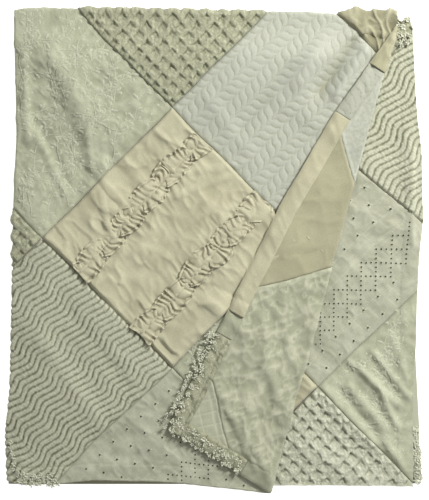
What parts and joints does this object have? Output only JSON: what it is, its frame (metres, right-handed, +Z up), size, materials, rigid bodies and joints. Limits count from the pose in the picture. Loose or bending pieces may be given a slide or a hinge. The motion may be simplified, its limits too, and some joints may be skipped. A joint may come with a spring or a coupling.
{
  "type": "chenille patchwork bedspread",
  "caption": "Patchwork bedspread of diagonal chenille, embroidered, eyelet and ruffled squares, folded flat with one corner of its front turned back over itself.",
  "frame": {"origin": "centre of the bounding box across and along, at its underside", "axes": "+Z up out of the surface it lies on, +Y along the folded stack to the fold at its head, +X across it to the side with the free hems"},
  "size_m": [0.9192, 1.0602, 0.0373],
  "materials": {
    "spread_cloth": "matt sage cotton with chenille pile, embroidery and eyelets in its patches",
    "ruffle_cloth": "matt plain khaki cotton"
  },
  "bodies": {
    "root": {"spread": "spread_cloth", "ruffle_upper": "ruffle_cloth", "ruffle_lower": "ruffle_cloth"}
  },
  "joints": []
}
